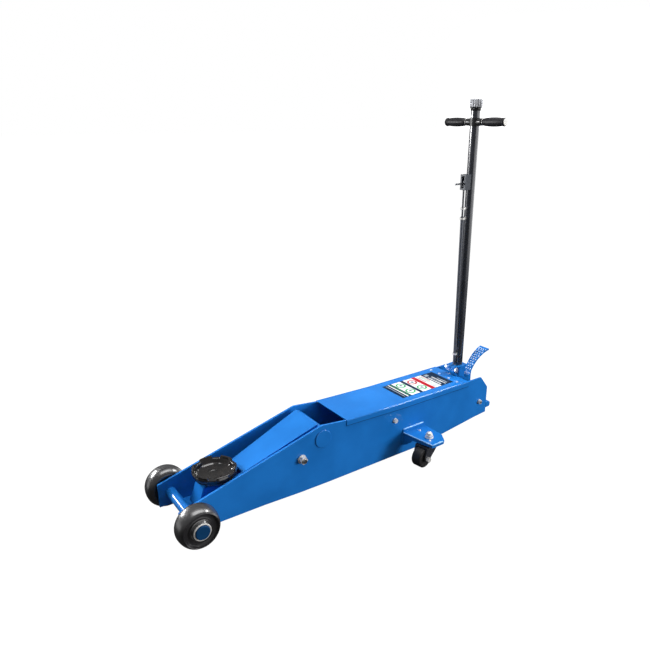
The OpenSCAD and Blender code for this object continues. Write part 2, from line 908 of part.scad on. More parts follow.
left_side_plate();
right_side_plate();
cross_plates();
rear_tie_bar();
top_cover();
cover_screws();
pivot_bosses();
arm_pivot_shaft();
front_axle();
axle_end_caps();
hub_washers();
left_caster_bracket();
right_caster_bracket();
caster_kingpins();
caster_dome_nuts();
link_anchor_shaft();
link_anchor_nuts();
unit_mount_bolts();
hinge_shaft();
hinge_nuts();
oil_tank();
ram_cylinder();
pump_block();
return_springs();
lift_arm();
crank_pin();
saddle_pin();
saddle_yoke();
yoke_link_pin();
saddle();
left_link_bar();
right_link_bar();
ram_rod();
ram_crosshead();
left_front_wheel();
right_front_wheel();
left_caster_fork();
left_caster_wheel();
left_caster_axle();
right_caster_fork();
right_caster_wheel();
right_caster_axle();
handle_socket();
handle_tube();
handle_cap();
cross_bar();
left_grip();
right_grip();
pinch_bolt();
pump_roller();
lock_block();
lock_tube();
rod_guides();
lock_rod();
release_knob();
release_rod();
valve_spindle();
foot_pedal();
hand_plunger();
pedal_plunger();
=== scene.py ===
"""Looks of the long-chassis trolley jack: paint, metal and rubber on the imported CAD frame,
with finer pieces where the CAD solids are plain. All lengths are in metres."""
import json
import math

import bmesh
import bpy
from mathutils import Euler, Matrix, Vector, noise


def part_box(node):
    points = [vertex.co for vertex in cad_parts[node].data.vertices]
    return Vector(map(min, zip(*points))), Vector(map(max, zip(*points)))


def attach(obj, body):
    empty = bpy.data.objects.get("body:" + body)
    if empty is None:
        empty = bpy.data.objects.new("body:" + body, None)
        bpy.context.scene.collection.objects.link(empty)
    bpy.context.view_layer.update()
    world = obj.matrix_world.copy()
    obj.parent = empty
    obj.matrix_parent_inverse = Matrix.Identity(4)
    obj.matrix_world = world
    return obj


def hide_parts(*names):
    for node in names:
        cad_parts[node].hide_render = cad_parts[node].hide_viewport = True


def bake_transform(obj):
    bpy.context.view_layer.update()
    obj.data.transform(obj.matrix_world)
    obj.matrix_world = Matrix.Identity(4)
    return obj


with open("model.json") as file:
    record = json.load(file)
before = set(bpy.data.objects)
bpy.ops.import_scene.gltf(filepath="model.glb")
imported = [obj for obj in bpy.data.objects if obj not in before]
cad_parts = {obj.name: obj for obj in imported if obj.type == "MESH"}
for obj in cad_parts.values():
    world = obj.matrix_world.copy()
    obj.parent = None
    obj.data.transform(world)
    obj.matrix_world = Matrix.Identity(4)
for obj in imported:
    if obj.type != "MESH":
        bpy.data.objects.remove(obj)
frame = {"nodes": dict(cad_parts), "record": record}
nodes = frame["nodes"]
joints = {j["name"]: j for j in frame["record"]["behaviour"]["joints"]}
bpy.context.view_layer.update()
MM = 0.001
TURN = 2 * math.pi
SIDES = (("left", 1), ("right", -1))
# Y of the weld beads, just outside the side plates' outer faces.
PLATE_FACE = 0.0955
# The caster brackets' upstand above the top of their plate, and the slant of their front edge.
BRACKET_UPSTAND = 0.010
BRACKET_SLANT = math.radians(9)
# The top cover: where it bends, its height there and at its rear end, the fall between them
# for each metre of length, and the depth of its skirts.
COVER_BEND_X, COVER_BEND_Z, COVER_REAR_Z = -0.1965, 0.2260, 0.2232
COVER_FALL = 0.00765
COVER_SKIRT = 0.021


# ---------------------------------------------------------------- materials

def shader(name):
    """A new material with its node tree and its Principled shader."""
    mat = bpy.data.materials.new(name)
    mat.use_nodes = True
    tree = mat.node_tree
    return mat, tree, tree.nodes["Principled BSDF"]


def coordinates(tree, scale=(1, 1, 1)):
    """Object coordinates in metres, stretched by scale."""
    source = tree.nodes.new("ShaderNodeTexCoord")
    mapping = tree.nodes.new("ShaderNodeMapping")
    mapping.inputs["Scale"].default_value = scale
    tree.links.new(source.outputs["Object"], mapping.inputs["Vector"])
    return mapping.outputs["Vector"]


def noise_value(tree, where, scale, detail, rough=0.55):
    """Noise from 0 to 1 with features of 1/scale metres."""
    tex = tree.nodes.new("ShaderNodeTexNoise")
    tex.inputs["Scale"].default_value = scale
    tex.inputs["Detail"].default_value = detail
    tex.inputs["Roughness"].default_value = rough
    tree.links.new(where, tex.inputs["Vector"])
    return tex.outputs["Fac"]


def ramp(tree, value, low, high):
    """Spreads the middle of a noise's range over the range from low to high."""
    node = tree.nodes.new("ShaderNodeMapRange")
    node.inputs["From Min"].default_value = 0.35
    node.inputs["From Max"].default_value = 0.65
    node.inputs["To Min"].default_value = low
    node.inputs["To Max"].default_value = high
    tree.links.new(value, node.inputs["Value"])
    return node.outputs["Result"]


def mix_colour(tree, factor, first, second):
    """Drifts from the first colour to the second as factor goes from 0 to 1."""
    node = tree.nodes.new("ShaderNodeMix")
    node.data_type = "RGBA"
    tree.links.new(factor, node.inputs["Factor"])
    sockets = [s for s in node.inputs if s.type == "RGBA"]
    for socket, colour in zip(sockets, (first, second)):
        socket.default_value = (*colour, 1)
    return [s for s in node.outputs if s.type == "RGBA"][0]


def add_bump(tree, bsdf, layers):
    """Stacks bumps; layers are (height socket, strength, depth in metres)."""
    normal = None
    for height, strength, depth in layers:
        node = tree.nodes.new("ShaderNodeBump")
        node.inputs["Strength"].default_value = strength
        node.inputs["Distance"].default_value = depth
        tree.links.new(height, node.inputs["Height"])
        if normal is not None:
            tree.links.new(normal, node.inputs["Normal"])
        normal = node.outputs["Normal"]
    tree.links.new(normal, bsdf.inputs["Normal"])


def surface(name, base, accent, rough, metallic=0.0, coat=0.0, coat_rough=0.1,
            coat_ior=1.5, patch=9.0, grain=220.0, grain_depth=0.0004, grain_strength=0.12,
            stretch=(1, 1, 1), ripple=None, specular=0.5):
    """A finish with uneven colour, uneven gloss and a fine grain.

    base and accent are the two colours it drifts between in patches of 1/patch metres,
    rough the (lowest, highest) roughness, grain the scale of the surface's grain and
    ripple an extra (scale, depth, strength) of broader unevenness."""
    mat, tree, bsdf = shader(name)
    where = coordinates(tree)
    stretched = coordinates(tree, stretch)
    drift = noise_value(tree, where, patch, 3.0)
    fine = noise_value(tree, stretched, grain, 5.0, 0.6)
    colour = mix_colour(tree, ramp(tree, drift, 0.0, 1.0), base, accent)
    tree.links.new(colour, bsdf.inputs["Base Color"])
    gloss = noise_value(tree, where, patch * 4.3, 5.0, 0.65)
    tree.links.new(ramp(tree, gloss, *rough), bsdf.inputs["Roughness"])
    bsdf.inputs["Metallic"].default_value = metallic
    bsdf.inputs["Coat Weight"].default_value = coat
    bsdf.inputs["Coat Roughness"].default_value = coat_rough
    bsdf.inputs["Coat IOR"].default_value = coat_ior
    bsdf.inputs["Specular IOR Level"].default_value = specular
    layers = [(fine, grain_strength, grain_depth)]
    if ripple:
        layers.append((noise_value(tree, where, ripple[0], 2.0), ripple[2], ripple[1]))
    add_bump(tree, bsdf, layers)
    return mat


MATERIALS = {
    "blue_paint": surface(
        "blue_paint", (0.0095, 0.143, 0.475), (0.0130, 0.174, 0.565), (0.42, 0.55),
        coat=0.8, coat_rough=0.06, patch=6.0, grain=520.0, grain_depth=0.0002,
        grain_strength=0.08, ripple=(30.0, 0.001, 0.08), specular=0.02),
    "zinc_plate": surface(
        "zinc_plate", (0.82, 0.82, 0.82), (0.68, 0.66, 0.62), (0.26, 0.40), metallic=0.4,
        patch=120.0, grain=900.0, grain_depth=0.0002, grain_strength=0.2),
    "bright_steel": surface(
        "bright_steel", (0.56, 0.57, 0.59), (0.44, 0.45, 0.47), (0.20, 0.36), metallic=1.0,
        patch=60.0, grain=700.0, stretch=(1, 8, 1), grain_depth=0.0002, grain_strength=0.25),
    "chrome_plate": surface(
        "chrome_plate", (0.52, 0.53, 0.56), (0.44, 0.45, 0.48), (0.10, 0.20), metallic=1.0,
        patch=70.0, grain=600.0, grain_depth=0.0001, grain_strength=0.06),
    "cast_iron_black": surface(
        "cast_iron_black", (0.004, 0.004, 0.005), (0.011, 0.009, 0.008), (0.30, 0.55),
        coat=1.0, coat_rough=0.14, patch=55.0, grain=420.0, grain_depth=0.0008,
        grain_strength=0.12, ripple=(90.0, 0.001, 0.12), specular=0.08, coat_ior=1.7),
    "black_paint": surface(
        "black_paint", (0.022, 0.025, 0.033), (0.032, 0.035, 0.046), (0.22, 0.32),
        coat=0.9, coat_rough=0.13, patch=12.0, grain=480.0, grain_depth=0.0002,
        grain_strength=0.08, specular=0.8),
    "wheel_black": surface(
        "wheel_black", (0.008, 0.008, 0.010), (0.014, 0.013, 0.015), (0.38, 0.52),
        coat=1.0, coat_rough=0.23, patch=26.0, grain=380.0, grain_depth=0.0002,
        grain_strength=0.04, ripple=(30.0, 0.0004, 0.05), specular=0.6, coat_ior=1.85),
    "caster_tyre": surface(
        "caster_tyre", (0.012, 0.012, 0.013), (0.020, 0.019, 0.019), (0.40, 0.60),
        patch=40.0, grain=520.0, grain_depth=0.0005, grain_strength=0.25, specular=0.35),
    "grip_rubber": surface(
        "grip_rubber", (0.011, 0.011, 0.013), (0.018, 0.017, 0.019), (0.38, 0.55),
        patch=60.0, grain=900.0, grain_depth=0.0004, grain_strength=0.3, specular=0.25),
    "black_plastic": surface(
        "black_plastic", (0.013, 0.013, 0.014), (0.020, 0.020, 0.021), (0.32, 0.46),
        patch=60.0, grain=1100.0, grain_depth=0.0002, grain_strength=0.25),
}
# Light blue paint as a painted highlight on the pedal's studs and the cover's screws.
STUD_HIGHLIGHT_PAINT = surface(
    "blue_paint_painted_highlight", (0.62, 0.74, 0.92), (0.16, 0.38, 0.78), (0.25, 0.4), coat=0.9,
    coat_rough=0.08, patch=160.0, grain=500.0)
# Lighter blue paint as a painted highlight on the brackets' rounded edges and their top weld
# beads.
EDGE_HIGHLIGHT_PAINT = surface(
    "blue_paint_edge_highlight", (0.26, 0.55, 0.95), (0.17, 0.44, 0.88), (0.25, 0.4), coat=0.9,
    coat_rough=0.08, patch=160.0, grain=500.0)
KNOB_CHROME = surface(
    "knob_chrome", (0.62, 0.63, 0.66), (0.54, 0.55, 0.58), (0.44, 0.50), metallic=0.7,
    patch=70.0, grain=600.0, grain_depth=0.0001, grain_strength=0.03)
# Darkened blue paint as painted shade: on the axle's end caps, and in the strip under each skirt
# of the cover as a painted shadow.
SHADE_PAINT = surface(
    "blue_paint_painted_shade", (0.0045, 0.038, 0.112), (0.006, 0.048, 0.135), (0.3, 0.42),
    patch=14.0, grain=600.0, specular=0.12)
# CAD nodes whose finish is not the common one of their slot.
FINISH = {
    # painted shade: the axle's end caps take the darkened blue paint
    "axle_end_caps": SHADE_PAINT,
    # painted highlight: the cover's screws take the light blue paint
    "cover_screws": STUD_HIGHLIGHT_PAINT,
    "cross_bar": MATERIALS["black_plastic"],
    "lock_block": surface(
        "cast_iron_grey", (0.052, 0.060, 0.075), (0.035, 0.040, 0.050), (0.35, 0.5),
        patch=60.0, grain=500.0, grain_strength=0.3),
    "lock_tube": surface(
        "satin_grey", (0.075, 0.082, 0.100), (0.095, 0.103, 0.125), (0.34, 0.48), coat=0.9,
        coat_rough=0.18, patch=40.0, grain=600.0),
    "lock_rod": surface(
        "zinc_dull", (0.20, 0.21, 0.23), (0.15, 0.155, 0.165), (0.3, 0.45), metallic=1.0,
        patch=80.0, grain=700.0),
}


def print_ink(name, base):
    """A printed colour on the cover's panel, slightly uneven and satin."""
    return surface(name, base, tuple(0.86 * v for v in base), (0.30, 0.42), patch=45.0,
                   grain=1300.0, grain_depth=0.0001, grain_strength=0.12, specular=0.06)


# ---------------------------------------------------------------- mesh helpers

def new_piece(name, mesh, body, slot, material=None, replaced=()):
    """Puts a finished mesh in the scene: rides on body, takes the slot's finish."""
    obj = bpy.data.objects.new(name, mesh)
    bpy.context.collection.objects.link(obj)
    if not mesh.materials:
        mesh.materials.append(material or MATERIALS[slot])
    if replaced:
        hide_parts(*replaced)
    if body:
        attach(obj, body)
    return obj


def mesh_from(name, verts, faces, matrix=None, smooth_deg=35.0):
    """A mesh with outward normals, smooth over edges that bend less than smooth_deg."""
    mesh = bpy.data.meshes.new(name)
    mesh.from_pydata([tuple(v) for v in verts], [], faces)
    if matrix is not None:
        mesh.transform(matrix)
    bm = bmesh.new()
    bm.from_mesh(mesh)
    bmesh.ops.remove_doubles(bm, verts=bm.verts, dist=1e-7)
    bmesh.ops.recalc_face_normals(bm, faces=bm.faces)
    limit = math.radians(smooth_deg)
    for face in bm.faces:
        face.smooth = True
    for edge in bm.edges:
        if len(edge.link_faces) == 2:
            edge.smooth = edge.calc_face_angle(0.0) < limit
    bm.to_mesh(mesh)
    bm.free()
    return mesh


def arc(cx, cy, r, start, end, steps):
    """Points round a circle, angles in degrees."""
    return [(cx + r * math.cos(math.radians(start + (end - start) * i / steps)),
             cy + r * math.sin(math.radians(start + (end - start) * i / steps)))
            for i in range(steps + 1)]


def lathe(name, profile, matrix, segments=96, radius=None, smooth_deg=35.0):
    """Turns a closed profile of (radius, height) points about Z.

    radius, if given, is a function of (radius, height, angle) that bends the section."""
    verts, faces = [], []
    count = len(profile)
    for k in range(segments):
        angle = TURN * k / segments
        for r, h in profile:
            spun, high = radius(r, h, angle) if radius else (r, h)
            verts.append((spun * math.cos(angle), spun * math.sin(angle), high))
    for k in range(segments):
        here, there = k * count, (k + 1) % segments * count
        for i in range(count):
            j = (i + 1) % count
            faces.append((here + i, there + i, there + j, here + j))
    return mesh_from(name, verts, faces, matrix, smooth_deg)


def tube(name, points, radius, sides=10, smooth_deg=60.0):
    """A round rod along points; radius is a number or a function of the point's index."""
    verts, faces = [], []
    pts = [Vector(p) for p in points]
    count = len(pts)
    across = None
    for i, p in enumerate(pts):
        ahead = pts[min(i + 1, count - 1)]
        behind = pts[max(i - 1, 0)]
        along = (ahead - behind).normalized()
        if across is None:
            across = along.orthogonal().normalized()
        across = (across - along * across.dot(along)).normalized()
        other = along.cross(across)
        r = radius(i) if callable(radius) else radius
        for k in range(sides):
            a = TURN * k / sides
            verts.append(p + r * (math.cos(a) * across + math.sin(a) * other))
    for i in range(count - 1):
        a, b = i * sides, (i + 1) * sides
        for k in range(sides):
            j = (k + 1) % sides
            faces.append((a + k, a + j, b + j, b + k))
    faces.append(tuple(range(sides))[::-1])
    faces.append(tuple(range((count - 1) * sides, count * sides)))
    return mesh_from(name, verts, faces, None, smooth_deg)


def dome(radius, height, sides=10):
    """A low round stud standing on Z = 0."""
    verts, faces = [(0, 0, height)], []
    rings = ((0.55, 0.82), (0.86, 0.45), (1.0, -0.15))
    for scale, lift in rings:
        for k in range(sides):
            a = TURN * k / sides
            verts.append((radius * scale * math.cos(a), radius * scale * math.sin(a),
                          height * lift))
    for k in range(sides):
        faces.append((0, 1 + k, 1 + (k + 1) % sides))
        for ring in range(len(rings) - 1):
            low, high = 1 + (ring + 1) * sides, 1 + ring * sides
            j = (k + 1) % sides
            faces.append((high + k, low + k, low + j, high + j))
    return verts, faces


def joined(name, meshes):
    """One mesh from several, keeping each one's materials and shading."""
    bm = bmesh.new()
    materials = []
    for mesh in meshes:
        part = bmesh.new()
        part.from_mesh(mesh)
        shift = len(materials)
        materials.extend(mesh.materials)
        for face in part.faces:
            face.material_index += shift
        scratch = bpy.data.meshes.new("scratch")
        part.to_mesh(scratch)
        part.free()
        bm.from_mesh(scratch)
        bpy.data.meshes.remove(scratch)
    mesh = bpy.data.meshes.new(name)
    bm.to_mesh(mesh)
    bm.free()
    for material in materials:
        mesh.materials.append(material)
    return mesh


def axis_y(x, y, z, side):
    """Local Z becomes +Y (or -Y for side -1), with the origin at the point."""
    return Matrix.Translation((x, y, z)) @ Euler((-math.pi / 2 * side, 0, 0)).to_matrix().to_4x4()


# ---------------------------------------------------------------- CAD nodes that stay

SLOT_OF = {s["node"]: s["material_slot"] for s in frame["record"]["subparts"]}
# Width in millimetres of the rounding on a node's edges, where it isn't PLAIN_EDGE.
PLAIN_EDGE = 0.4
EDGE = {
    "lift_arm": 1.6, "saddle_yoke": 1.8, "left_side_plate": 1.2,
    "right_side_plate": 1.2, "left_caster_bracket": 2.8, "right_caster_bracket": 2.8,
    "rear_tie_bar": 1.6, "handle_socket": 1.5, "pivot_bosses": 2.4, "foot_pedal": 0.9,
    "link_anchor_nuts": 0.8, "unit_mount_bolts": 0.6, "hinge_nuts": 0.6,
    "caster_dome_nuts": 0.6, "lock_block": 0.9, "front_axle": 0.8, "axle_end_caps": 0.7,
    "pump_block": 1.0, "oil_tank": 2.0,
}


def dress_cad_node(name, obj):
    """Gives a CAD node its finish, rounded edges and smooth curved faces."""
    mesh = obj.data
    mesh.materials.clear()
    mesh.materials.append(FINISH.get(name, MATERIALS[SLOT_OF[name]]))
    mesh.normals_split_custom_set([(0, 0, 0)] * len(mesh.loops))
    for face in mesh.polygons:
        face.use_smooth = True
    weld = obj.modifiers.new("weld", "WELD")
    weld.merge_threshold = 1e-6
    planes = obj.modifiers.new("planes", "DECIMATE")
    planes.decimate_type = "DISSOLVE"
    planes.angle_limit = math.radians(0.4)
    bevel = obj.modifiers.new("edge", "BEVEL")
    bevel.width = EDGE.get(name, PLAIN_EDGE) * MM
    bevel.segments = 2
    bevel.limit_method = "ANGLE"
    bevel.angle_limit = math.radians(32)
    bevel.use_clamp_overlap = True
    flat = obj.modifiers.new("flat_faces", "WEIGHTED_NORMAL")
    flat.mode = "FACE_AREA"
    flat.weight = 100
    flat.thresh = 0.01


for node_name, node_obj in nodes.items():
    dress_cad_node(node_name, node_obj)


# ---------------------------------------------------------------- front wheels

def front_wheel(side_name, side):
    """A solid wheel with a crowned tread and a sunk face round its hub."""
    low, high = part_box(f"{side_name}_front_wheel")
    centre = (low + high) / 2
    r = (high.x - low.x) / 2
    w = high.y - low.y
    bore = 0.0175
    lip = 0.0575
    crest = w * 0.40

    def barrel(start, end, depth, drop, steps):
        """An elliptical shoulder: depth across the tread, drop in radius."""
        return [(r - drop + drop * math.cos(a), crest + depth * math.sin(a)) for a in
                (math.radians(start + (end - start) * i / steps) for i in range(steps + 1))]

    profile = (
        [(bore, 0.0), (0.030, 0.0), (0.032, 0.0015), (0.034, 0.007), (0.046, 0.007),
         (0.0485, 0.0012)]
        + barrel(-84, 0, crest - 0.0005, 0.0195, 16)
        + barrel(6, 80, w - crest - 0.0022, 0.0150, 16)
        + arc(lip, w - 0.0040, 0.0020, 60, 190, 5)
        + [(0.0535, w - 0.0090), (0.0505, w - 0.0120), (0.0430, w - 0.0128)]
        + arc(0.0405, w - 0.0100, 0.0020, -80, -180, 4)
        + [(0.0375, w - 0.0070), (0.0340, w - 0.0060), (0.0318, w - 0.0030),
           (0.0300, w - 0.0004), (0.0245, w - 0.0004), (0.0243, w - 0.0020), (bore, w - 0.0022)]
    )
    start = low.y if side > 0 else high.y
    matrix = axis_y(centre.x, start, centre.z, side)
    mesh = lathe(f"{side_name}_front_wheel_rim", profile, matrix, 128)
    new_piece(f"{side_name}_front_wheel_rim", mesh, f"{side_name}_front_wheel", "wheel_black",
              replaced=[f"{side_name}_front_wheel"])


def hub_rings():
    """Half-round bright rings that hold the front wheels on their axle."""
    low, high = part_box("hub_washers")
    centre = (low + high) / 2
    outer = (high.x - low.x) / 2 - 0.0001
    inner = outer - 0.0052
    face, depth = high.y, 0.0034
    crown = [(inner + (outer - inner) * (0.5 - 0.5 * math.cos(math.pi * i / 10)),
              depth - 0.0016 + 0.0016 * math.sin(math.pi * i / 10)) for i in range(11)]
    profile = [(inner, 0.0)] + crown + [(outer, 0.0)]
    rings = [lathe("ring", profile, axis_y(centre.x, side * (face - depth), centre.z, side), 96)
             for _, side in SIDES]
    for mesh in rings:
        mesh.materials.append(MATERIALS["zinc_plate"])
    new_piece("hub_rings", joined("hub_rings", rings), "chassis", "zinc_plate",
              replaced=["hub_washers"])


for side_name, side in SIDES:
    front_wheel(side_name, side)
hub_rings()


# ---------------------------------------------------------------- casters

def caster_wheel(side_name):
    """A small wheel with rounded shoulders and a raised hub."""
    joint = joints[f"{side_name}_caster_spin"]
    centre = Vector(joint["pos_m"])
    axis = Vector(joint["axis"])
    r = centre.z
    half = 0.020
    profile = (
        [(0.0062, -half - 0.001), (0.0125, -half - 0.001), (0.0135, 0.003 - half),
         (0.0240, 0.003 - half), (0.0262, -half)]
        + arc(r - 0.0055, 0.0055 - half, 0.0055, -90, 0, 6)
        + [(r, 0.0)]
        + arc(r - 0.0055, half - 0.0055, 0.0055, 0, 90, 6)
        + [(0.0262, half), (0.0240, half - 0.003), (0.0135, half - 0.003),
           (0.0125, half + 0.001), (0.0062, half + 0.001)]
    )
    turn = Vector((0, 0, 1)).rotation_difference(axis).to_matrix().to_4x4()
    matrix = Matrix.Translation(centre) @ turn
    mesh = lathe(f"{side_name}_caster_tyre", profile, matrix, 96)
    new_piece(f"{side_name}_caster_tyre", mesh, f"{side_name}_caster_wheel", "caster_tyre",
              replaced=[f"{side_name}_caster_wheel"])


for side_name, _ in SIDES:
    caster_wheel(side_name)


# ---------------------------------------------------------------- saddle

def saddle():
    """A cast cup with a toothed rim that turns on the yoke."""
    low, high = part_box("saddle")
    centre = (low + high) / 2
    r = (high.x - low.x) / 2 + 0.0001
    top = high.z
    foot = low.z
    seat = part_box("saddle_yoke")[1].z + 0.0003
    rim = top - 0.008
    lugs = 6

    def tooth(angle):
        """1 on a raised tooth of the rim, 0 in the gap, with short slopes."""
        phase = (angle / TURN * lugs) % 1.0
        off = abs(phase - 0.5) * TURN / lugs
        return min(1.0, max(0.0, (math.radians(20.5) - off) / math.radians(3.5)))

    def shape(radius, height, angle):
        lifted = max(0.0, height - rim) / (top - rim)
        t = tooth(angle)
        high_z = min(height, rim) + lifted * (top - rim) * t
        inner = 0.0012 * (1 - t) if radius > r - 0.013 else 0.0
        rough = noise.noise(Vector((math.cos(angle), math.sin(angle), height * 60)) * 2.2)
        return radius - inner + (0.0005 * rough if radius > 0.02 else 0.0), high_z

    profile = (
        [(0.0, foot), (0.011, foot), (0.012, foot + 0.001), (0.012, seat), (0.027, seat)]
        + arc(0.0290, seat + 0.0030, 0.0025, -90, -30, 3)
        + [(0.036, seat + 0.0036), (0.046, seat + 0.0045), (0.054, seat + 0.0078),
           (0.0615, seat + 0.0112)]
        + arc(r - 0.020, seat + 0.0290, 0.019, -52, 0, 8)
        + [(r - 0.0005, rim - 0.006), (r, rim - 0.005), (r, rim - 0.001), (r - 0.0006, rim),
           (r - 0.0016, top - 0.0008), (r - 0.0026, top), (r - 0.0066, top),
           (r - 0.0076, top - 0.0010), (r - 0.0090, rim), (r - 0.0100, rim - 0.0008),
           (r - 0.0120, rim - 0.008), (r - 0.0155, rim - 0.0130), (0.050, seat + 0.0215),
           (0.036, seat + 0.0200), (0.026, seat + 0.0192), (0.0235, seat + 0.0176),
           (0.0180, seat + 0.0167), (0.0, seat + 0.0167)]
    )
    matrix = Matrix.Translation((centre.x, centre.y, 0))
    mesh = lathe("saddle_cup", profile, matrix, 240, shape, 40)
    new_piece("saddle_cup", mesh, "saddle", "cast_iron_black", replaced=["saddle"])


saddle()


# ---------------------------------------------------------------- handle

def grip(side_name, side):
    """A ribbed rubber sleeve that swells in the palm, with a bright plug in its end."""
    low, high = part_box(f"{side_name}_grip")
    centre = (low + high) / 2
    length = high.y - low.y
    big = (high.z - low.z) / 2
    ribs = 14
    steps = 32

    def ribbed(radius, height, angle):
        along = height / length
        on_palm = 1.0 if 0.16 < along < 0.80 and radius > 0.0115 else 0.0
        groove = 0.00045 * (0.5 + 0.5 * math.cos(ribs * angle)) * on_palm
        return radius - groove, height

    def palm(i):
        """A point of the ringed swell that the hand closes on."""
        swell = (big - 0.0145) * math.sin(math.pi * i / steps) ** 0.8
        return 0.0144 + swell - 0.00035 * (i % 2), length * (0.10 + 0.74 * (i / steps))

    profile = (
        [(0.0096, 0.0), (0.0115, 0.0), (0.0125, 0.0010), (0.0132, 0.0050)]
        + [palm(i) for i in range(steps + 1)]
        + [(0.0138, length * 0.885), (0.0134, length * 0.915), (0.0146, length * 0.935),
           (0.0154, length * 0.950), (0.0154, length * 0.965), (0.0146, length * 0.985),
           (0.0136, length), (0.0, length), (0.0, length - 0.0036), (0.0096, length - 0.0036)]
    )
    start = low.y if side > 0 else high.y
    mesh = lathe(f"{side_name}_grip_sleeve", profile, axis_y(centre.x, start, centre.z, side),
                 84, ribbed, 50)
    new_piece(f"{side_name}_grip_sleeve", mesh, "handle", "grip_rubber",
              replaced=[f"{side_name}_grip"])
    end = high.y if side > 0 else low.y
    plug = [(0.0, 0.0), (0.0124, 0.0), (0.0128, 0.0008), (0.0120, 0.0018), (0.0, 0.0024)]
    mesh = lathe(f"{side_name}_grip_plug", plug, axis_y(centre.x, end, centre.z, side), 48)
    new_piece(f"{side_name}_grip_plug", mesh, "handle", "zinc_plate")


def release_knob():
    """A fluted bright knob on a black collar."""
    low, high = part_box("release_knob")
    centre = (low + high) / 2
    r = (high.x - low.x) / 2
    h = high.z - low.z
    neck = 0.0045
    flutes = 18

    def fluted(radius, height, angle):
        cut = 0.5 + 0.5 * math.cos(flutes * angle)
        depth = 0.0026 * cut ** 1.6 if radius > 0.0215 and height > neck + 0.0010 else 0.0
        return radius - depth, height

    profile = (
        [(0.0100, neck), (r - 0.0016, neck), (r - 0.0004, neck + 0.0013), (r, neck + 0.0030),
         (r, h - 0.0045), (r - 0.0010, h - 0.0018), (r - 0.0030, h - 0.0003), (0.0195, h),
         (0.0170, h), (0.0160, h - 0.0012), (0.0, h - 0.0012), (0.0, 0.010), (0.0100, 0.010)]
    )
    place = Matrix.Translation((centre.x, centre.y, low.z))
    mesh = lathe("release_knob_fluted", profile, place, 288, fluted, 40)
    new_piece("release_knob_fluted", mesh, "release_knob", "chrome_plate", KNOB_CHROME,
              replaced=["release_knob"])
    collar = (
        [(0.0055, 0.0), (0.0192, 0.0), (0.0204, 0.0010), (0.0212, 0.0030), (0.0216, 0.0042),
         (0.0210, neck + 0.0002), (0.0055, neck + 0.0002)]
    )
    mesh = lathe("release_knob_collar", collar, place, 64, smooth_deg=40)
    new_piece("release_knob_collar", mesh, "release_knob", "black_plastic",
              replaced=["release_knob"])


def bar_ferrules():
    """Bright rings on the cross bar by each grip, and screw heads in its clamp."""
    low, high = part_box("cross_bar")
    centre = (low + high) / 2
    section = arc(0.0120, 0.0007, 0.0007, -60, 240, 8)
    parts = []
    for _, side in SIDES:
        parts.append(lathe("ring", section, axis_y(centre.x, side * 0.0395, centre.z, side), 48))
        verts, faces = dome(0.0030, 0.0018, 20)
        face = Matrix.Translation((centre.x + 0.0126, side * 0.0265, centre.z))
        parts.append(mesh_from("head", verts, faces, face @ Matrix.Rotation(TURN / 4, 4, "Y")))
    for mesh in parts:
        mesh.materials.append(MATERIALS["zinc_plate"])
    new_piece("bar_ferrules", joined("bar_ferrules", parts), "handle", "zinc_plate")


for side_name, side in SIDES:
    grip(side_name, side)
release_knob()
bar_ferrules()


# ---------------------------------------------------------------- return springs

def return_spring(side_name, side):
    """A tension spring beside the cylinder; the real one stretches as the ram moves out, but this
    one stays fixed as drawn.
    """
    low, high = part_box("return_springs")
    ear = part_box("ram_crosshead")[0].x
    r = (high.z - low.z) / 2 - 0.001
    y = side * (high.y - r - 0.001)
    z = (low.z + high.z) / 2
    hook = 0.028
    start, end = low.x + hook, ear - hook
    turns = 96
    per_turn = 12
    points = [(low.x + 0.001, y, z), (low.x + hook * 0.5, y, z), (start - 0.003, y, z + r * 0.4)]
    for i in range(turns * per_turn + 1):
        a = TURN * i / per_turn
        x = start + (end - start) * i / (turns * per_turn)
        points.append((x, y + r * math.sin(a), z + r * math.cos(a)))
    points += [(end + 0.003, y, z + r * 0.4), (end + hook * 0.5, y, z), (ear - 0.001, y, z)]
    mesh = tube(f"{side_name}_return_spring", points, 0.00125, 8)
    obj = new_piece(f"{side_name}_return_spring", mesh, None, "bright_steel",
                    replaced=["return_springs"])
    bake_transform(obj)


for side_name, side in SIDES:
    return_spring(side_name, side)


# ---------------------------------------------------------------- pedal tread

def pedal_studs():
    """Staggered rows of round studs over the convex face of the pedal's tread."""
    # The arc of the tread's face, the angle of its first row and the angle it spans.
    centre, r = Vector((-0.7131, 0, 0.1923)), 0.140
    first, span = math.radians(30), math.radians(50)
    # Y of its outer edge and of its inner edge at the root and at the tip; X from the arc's
    # centre where the inner edge starts to flare, and the length of the flare.
    outer, root_inner, tip_inner = 0.0745, 0.052, 0.035
    flare_from, flare_length = 0.1236, 0.103
    pitch = 0.0108
    verts, faces = [], []
    rows = int(span * r / pitch)
    stud, stud_faces = dome(0.0038, 0.0034)
    for row in range(rows):
        a = first + row * pitch / r
        out = Vector((math.cos(a), 0, math.sin(a)))
        along = Vector((-math.sin(a), 0, math.cos(a)))
        flare = min(1.0, max(0.0, (flare_from - r * out.x) / flare_length))
        inner = root_inner + (tip_inner - root_inner) * flare
        count = int((outer - inner) / pitch) + 1
        for k in range(count):
            y = outer - (k + 0.5 * (row % 2)) * pitch
            if y < inner:
                continue
            base = centre + out * r + Vector((0, y, 0))
            shift = len(verts)
            verts += [base + along * v[0] + Vector((0, v[1], 0)) + out * v[2] for v in stud]
            faces += [tuple(i + shift for i in f) for f in stud_faces]
    # The studs are painted light blue as painted highlights.
    new_piece("pedal_studs", mesh_from("pedal_studs", verts, faces), "pedal", "blue_paint",
              STUD_HIGHLIGHT_PAINT)


pedal_studs()


# ---------------------------------------------------------------- caster brackets

